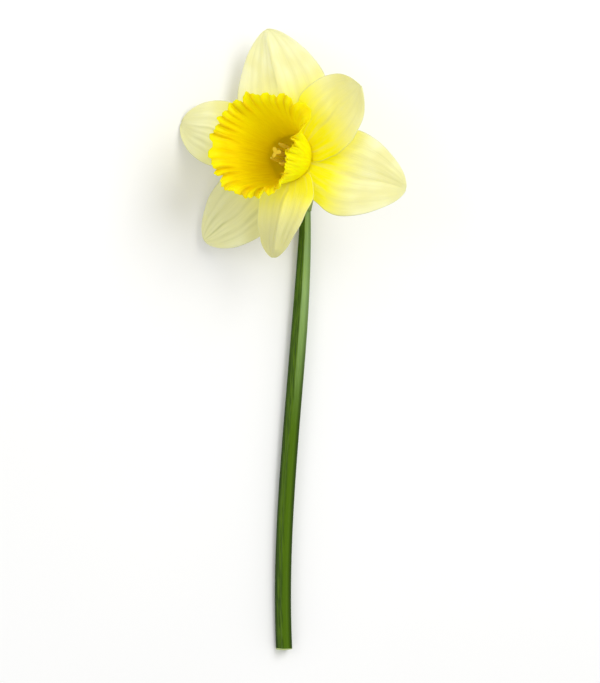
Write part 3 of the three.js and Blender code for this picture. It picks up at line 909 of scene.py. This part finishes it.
# Directions round the trumpet and how far each part of the rim spreads, in degrees
ROLLED_BACK = (34, 24)
TUCKED_IN = (-11, 33)
DROOPING = (15, 9)
CURLED = (-84, 26)
CREASED = (3, 26)
DEEP_GOLD_LIP = (6, 20)


def bump(graph, angle, at, width):
    """A smooth rise round one direction of the trumpet, in degrees."""
    off = angle - math.radians(at)
    near = 2 * ((off / 2).sin())
    return (near * near * -(1 / math.radians(width) ** 2)).exp()


def trumpet_shape(graph, size):
    tube = graph.add("GeometryNodeMeshCylinder", {"fill_type": "NONE"}, {
        "Vertices": size["Sides"],
        "Side Segments": size["Rows"],
        "Radius": 1.0,
        "Depth": 2.0,
    })
    spot = graph.add("ShaderNodeSeparateXYZ", {}, (graph.add("GeometryNodeInputPosition"),))
    keep = {"data_type": "FLOAT"}
    angle = graph.add("ShaderNodeMath", {"operation": "ARCTAN2"}, (spot["Y"], spot["X"]))
    tube = graph.add("GeometryNodeStoreNamedAttribute", keep, {
        "Geometry": tube, "Name": "around", "Value": angle,
    })
    tube = graph.add("GeometryNodeStoreNamedAttribute", keep, {
        "Geometry": tube, "Name": "part", "Value": (spot["Z"] + 1) / 2,
    })
    around = graph.add("GeometryNodeInputNamedAttribute", keep, {"Name": "around"})
    part = graph.add("GeometryNodeInputNamedAttribute", keep, {"Name": "part"})
    level = size["Foot"] + (size["Length"] - size["Foot"]) * part
    along = ((level + PETAL_ROOT_DEPTH) / (size["Length"] + PETAL_ROOT_DEPTH)).most(0.0)

    rolled = bump(graph, around, *ROLLED_BACK)
    tucked = bump(graph, around, *TUCKED_IN)
    curled = bump(graph, around, *CURLED)
    drooping = bump(graph, around, *DROOPING) * along ** 10.0
    flare = size["Flare"] + 4.8 * rolled - 7.2 * tucked
    body = size["Root radius"] + (size["Body radius"] - size["Root radius"]) * (
        (along * (math.pi / 2)).sin() ** 0.9
    )
    # Below the petals' roots it lines the tube, and narrows with it
    widening = (size["Root radius"] - LINING_INSET) * level.smooth(-8.0, 0.8)
    lining = LINING_RADIUS + widening
    body = lining + (body - lining) * level.smooth(-0.6, 0.6)
    wave = (17 * around + 0.6).cos()
    frill = 0.6 * wave + 0.4 * (11 * around + 1.3).sin()
    ribs = 0.06 * (36 * around + 2 * (3 * around).sin()).cos()
    pleat = 0.15 * wave + 0.2 * (6 * around).cos() + ribs
    radius = body + flare * along ** 3.4 + frill * along ** 5.0 + pleat * along.smooth(0.15, 0.8)
    tooth = 0.3 * (23 * around + 2).cos() + 0.5 * (8 * around).sin()
    height = level - 6 * rolled * along ** 4.0
    height = height + tooth * along ** 6.0
    # The lip rolls back
    lip = along.smooth(0.84, 1.0)
    radius = radius + 0.7 * lip * lip - 2.6 * drooping
    height = height - 1.1 * lip * lip + 1.2 * drooping
    place = vector(graph, radius * around.cos(), radius * around.sin(), height)
    shape = graph.add("GeometryNodeSetPosition", {}, {"Geometry": tube, "Position": place})

    # The crimps: round lobes with narrow notches between them, each with its own strength
    crimp = 14 * around + 3.4 * (around + 4.6).sin() + 0.8 * (5 * around + 0.4).sin()
    strength = 0.72 + 0.22 * (7 * around + 1).sin() + 0.2 * (4 * around + 3).cos()
    strength = strength + 0.8 * curled + 0.5 * bump(graph, around, *CREASED)
    lobe = abs(crimp.sin()) ** 0.55
    crinkle = 0.2 * (67 * around + 2 * (9 * around).sin()).sin()
    fold = 2.1 * lobe - 1.5 + 0.4 * (2 * crimp + 0.8).sin() + crinkle
    deep = along.smooth(0.54, 1.0) ** 1.2
    # The notches get painted shade in a deeper gold, but hardly where the rim rolls back, and the
    # tucked lip is painted a deeper gold too
    notch = (1 - lobe) * strength * deep * (1 - 0.7 * rolled)
    notch = notch + 0.5 * bump(graph, around, *DEEP_GOLD_LIP) * along.smooth(0.92, 1.0)
    shape = graph.add("GeometryNodeStoreNamedAttribute", keep, {
        "Geometry": shape, "Name": "notch", "Value": notch,
    })
    facing = graph.add("GeometryNodeInputNormal")
    inputs = {"Geometry": shape, "Offset": scaled(graph, facing, fold * strength * deep)}
    shape = graph.add("GeometryNodeSetPosition", {}, inputs)
    teeth = vector(graph, around.cos() * 0.6, around.sin() * 0.6, 0.75)
    grow = ((lobe - 0.75) * 1.6 + crinkle * 0.8) * strength * along ** 14.0
    inputs = {"Geometry": shape, "Offset": scaled(graph, teeth, grow)}
    shape = graph.add("GeometryNodeSetPosition", {}, inputs)

    # The wall: two faces that meet at the lip and at the foot
    facing = graph.add("GeometryNodeInputNormal")
    ends = 2 * part - 1
    half = (1 - ends ** 40.0).most(0.0) ** 0.5 * size["Wall"] / 2
    outer = {"Geometry": shape, "Offset": scaled(graph, facing, half)}
    inner = {"Geometry": shape, "Offset": scaled(graph, facing, 0 - half)}
    outside_face = graph.add("GeometryNodeSetPosition", {}, outer)
    inside_face = graph.add("GeometryNodeSetPosition", {}, inner)
    inside_face = graph.add("GeometryNodeFlipFaces", {}, {"Mesh": inside_face})
    inside_face = graph.add("GeometryNodeStoreNamedAttribute", keep, {
        "Geometry": inside_face, "Name": "inside", "Value": 1.0,
    })
    both = graph.add("GeometryNodeJoinGeometry")
    join = both.socket.node.inputs[0]
    graph.tree.links.new(outside_face.socket, join)
    graph.tree.links.new(inside_face.socket, join)
    return graph.add("GeometryNodeMergeByDistance", {}, {"Geometry": both, "Distance": 1e-4})


def trumpet_finish(graph):
    where = in_flower(graph, BLOOM)
    spot = graph.add("ShaderNodeSeparateXYZ", {}, (where,))
    depth = spot["Z"]
    inside = graph.add("ShaderNodeAttribute", {"attribute_name": "inside"})["Fac"]
    radius = (spot["X"] * spot["X"] + spot["Y"] * spot["Y"]) ** 0.5
    round_way = vector(graph, spot["X"] / radius, spot["Y"] / radius, depth * 0.006)
    streaks = noise(graph, round_way, 20.0, 2.0, 0.5)
    fine = noise(graph, round_way, 60.0, 2.0, 0.6)
    cells = noise(graph, where, 5.0, 2.0, 0.7)
    lemon = streaks.smooth(0.3, 0.65).blend(paint(252, 232, 0), paint(255, 250, 0))
    golden = streaks.smooth(0.3, 0.7).blend(paint(240, 204, 0), paint(250, 218, 0))
    # The inner wall is painted lighter toward its top: painted light where that wall lies in shade
    upper = (spot["Y"] / radius).smooth(0.1, 0.8)
    golden = (upper * 0.7).blend(golden, paint(255, 228, 0))
    golden = (fine.smooth(0.5, 0.8) * 0.3).blend(golden, paint(232, 192, 0))
    # Near the mouth the inside is painted lighter: a painted highlight on the lip
    golden = depth.smooth(23.0, 30.0).blend(golden, paint(252, 232, 0))
    colour = inside.blend(lemon, golden)
    # Painted shade of a deeper gold in the notches between the crimps, and the same gold on the
    # tucked lip
    notch = graph.add("ShaderNodeAttribute", {"attribute_name": "notch"})["Fac"]
    colour = (notch * 1.1).least(0.7).blend(colour, paint(212, 162, 0))
    root = depth.smooth(7.0, -1.0)
    colour = (root * 0.6).blend(colour, paint(250, 216, 0))
    colour = depth.smooth(1.0, -4.0).blend(colour, paint(255, 216, 0))
    return {
        "Base Color": colour,
        "Roughness": 0.46 + 0.12 * cells,
        "Subsurface Weight": 0.8,
        "Subsurface Radius": (1.0, 0.92, 0.05),
        "Subsurface Scale": 0.0026,
        "Specular IOR Level": 0.1,
        "Normal": relief(graph, streaks * 0.4 + fine * 0.25 + cells * 0.15, 0.0002),
    }


trumpet = grown("trumpet_cup", {
    "Sides": TRUMPET_SIDES,
    "Rows": TRUMPET_ROWS,
    "Length": 30.2,
    "Foot": -5.5,
    "Root radius": 9.4,
    "Body radius": 15.2,
    "Flare": 5.4,
    "Wall": 0.6,
}, trumpet_shape, finish("trumpet gold", trumpet_finish), BLOOM)
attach(trumpet, "root")
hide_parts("trumpet")


# Stamens. Six slender threads rise from a sleeve inside the tube, every other one a little
# higher, and each carries a long anther that is split along its sides and dusty with pollen.
ANTHER_LENGTH = 9


def stamen_rings():
    """One stamen, which stands out along x from the flower's axis."""
    rings = []
    for u in np.linspace(0, 1, 40, endpoint=False):
        place = np.array([mix(2.95, 3.7, u), 0.12 * math.sin(5 * u), mix(-8.0, 2.2, u)])
        rings.append((place, np.full(24, 0.5 - 0.12 * u)))
    turn = np.linspace(0, 2 * math.pi, 24, endpoint=False)
    for u in np.linspace(0, 1, 48):
        fat = math.sin(math.pi * mix(0.04, 0.96, u)) ** 0.5
        lobes = 0.78 + 0.2 * np.abs(np.sin(turn)) - 0.16 * np.abs(np.cos(turn)) ** 6
        wander = 0.04 * math.sin(17 * u) + 0.03 * math.sin(29 * u + 1)
        place = np.array([3.6 + 0.9 * (u - 0.4) ** 2, wander, ANTHER_LENGTH * u - 0.5])
        rings.append((place, fat * lobes))
    way, out = np.array([0.0, 0.0, 1.0]), np.array([1.0, 0.0, 0.0])
    return [ring(place, way, out, radii) for place, radii in rings]


def stamens_shape(graph, size):
    spokes = graph.add("GeometryNodeMeshCircle", {}, {"Vertices": 6, "Radius": 1.0})
    number = graph.add("GeometryNodeInputIndex")
    turn = vector(graph, 0, 0, number * (math.pi / 3) + math.pi / 6)
    turn = graph.add("FunctionNodeEulerToRotation", {}, (turn,))
    lift = number.maths("MODULO", number, 2) * size["Reach"]
    inputs = {"Geometry": spokes, "Position": vector(graph, 0, 0, lift)}
    spokes = graph.add("GeometryNodeSetPosition", {}, inputs)
    one = graph.add("GeometryNodeObjectInfo", {}, {"Object": one_stamen})["Geometry"]
    ringed = graph.add("GeometryNodeInstanceOnPoints", {}, {
        "Points": spokes, "Instance": one, "Rotation": turn,
    })
    ringed = graph.add("GeometryNodeRealizeInstances", {}, {"Geometry": ringed})
    # Pollen: small grains over the anthers alone
    height = graph.add("ShaderNodeSeparateXYZ", {}, (graph.add("GeometryNodeInputPosition"),))["Z"]
    on_anther = height.maths("GREATER_THAN", height, 2.4)
    dust = graph.add("GeometryNodeDistributePointsOnFaces", {}, {
        "Mesh": ringed, "Selection": on_anther, "Density": size["Grains"], "Seed": 5,
    })
    grain = graph.add("GeometryNodeMeshIcoSphere", {}, {"Radius": 0.1, "Subdivisions": 1})
    spread = graph.add("FunctionNodeRandomValue", {"data_type": "FLOAT"}, {
        "Min": 0.6, "Max": 1.35, "Seed": 11,
    })
    grains = graph.add("GeometryNodeInstanceOnPoints", {}, {
        "Points": dust, "Instance": grain, "Scale": spread,
    })
    both = graph.add("GeometryNodeJoinGeometry")
    join = both.socket.node.inputs[0]
    graph.tree.links.new(ringed.socket, join)
    graph.tree.links.new(grains.socket, join)
    return both


def stamens_finish(graph):
    where = in_flower(graph, BLOOM)
    spot = graph.add("ShaderNodeSeparateXYZ", {}, (where,))
    dust = noise(graph, where, 4.0, 3.0, 0.7)
    anther = spot["Z"].smooth(1.6, 3.0)
    gold = dust.smooth(0.35, 0.65).blend(paint(255, 236, 40), paint(255, 252, 110))
    thread = spot["Z"].smooth(-8.0, 1.0).blend(paint(206, 206, 90), paint(246, 232, 120))
    return {
        "Base Color": anther.blend(thread, gold),
        "Roughness": 0.78,
        "Subsurface Weight": 0.15,
        "Subsurface Radius": (1.0, 0.9, 0.2),
        "Subsurface Scale": 0.0006,
        "Normal": relief(graph, dust, 0.0001),
    }


pollen_gold = finish("pollen gold", stamens_finish)
one_stamen = skin("one_stamen", stamen_rings(), pollen_gold)
one_stamen.data.transform(LAID.inverted())
stamens = grown("stamens_ring", {"Reach": 1.5, "Grains": 7.0}, stamens_shape, pollen_gold, BLOOM)
bpy.data.objects.remove(one_stamen)
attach(stamens, "root")
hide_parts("stamens")


# Pistil. A pale green-yellow style that stands on the tube's floor and ends, just above the
# anthers, in a moist stigma of three lobes.
PISTIL_PROFILE = [
    (-11.7, 0.95, 0), (-6, 0.75, 0), (0, 0.75, 0), (6, 0.75, 0), (10.5, 0.75, 0.1),
    (11.6, 1.35, 0.3), (12.3, 1.75, 0.4), (12.5, 1.3, 0.35),
]


def pistil_finish(graph):
    where = in_flower(graph, BLOOM)
    height = graph.add("ShaderNodeSeparateXYZ", {}, (where,))["Z"]
    cells = noise(graph, where, 6.0, 2.0, 0.7)
    tip = height.smooth(9.5, 11.5)
    return {
        "Base Color": tip.blend(paint(226, 214, 90), paint(255, 226, 50)),
        "Roughness": 0.36 + 0.2 * cells,
        "Subsurface Weight": 0.3,
        "Subsurface Radius": (1.0, 0.9, 0.3),
        "Subsurface Scale": 0.0008,
        "Normal": relief(graph, cells, 0.0002),
    }


profile = np.array(PISTIL_PROFILE, float)
turns = np.linspace(0, 2 * math.pi, 72, endpoint=False)
pistil_rings = []
for t in np.linspace(0, len(profile) - 1, 90):
    z, radius, lobe = (np.interp(t, range(len(profile)), profile[:, k]) for k in range(3))
    radii = radius * (1 + lobe * np.cos(3 * turns) + 0.1 * lobe * np.sin(15 * turns))
    pistil_rings.append(ring(in_bloom(0, 0, z)[0], flower_way, np.asarray(side), radii))
pistil = skin("pistil_style", pistil_rings, finish("pistil flesh", pistil_finish))
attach(pistil, "root")
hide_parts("pistil")
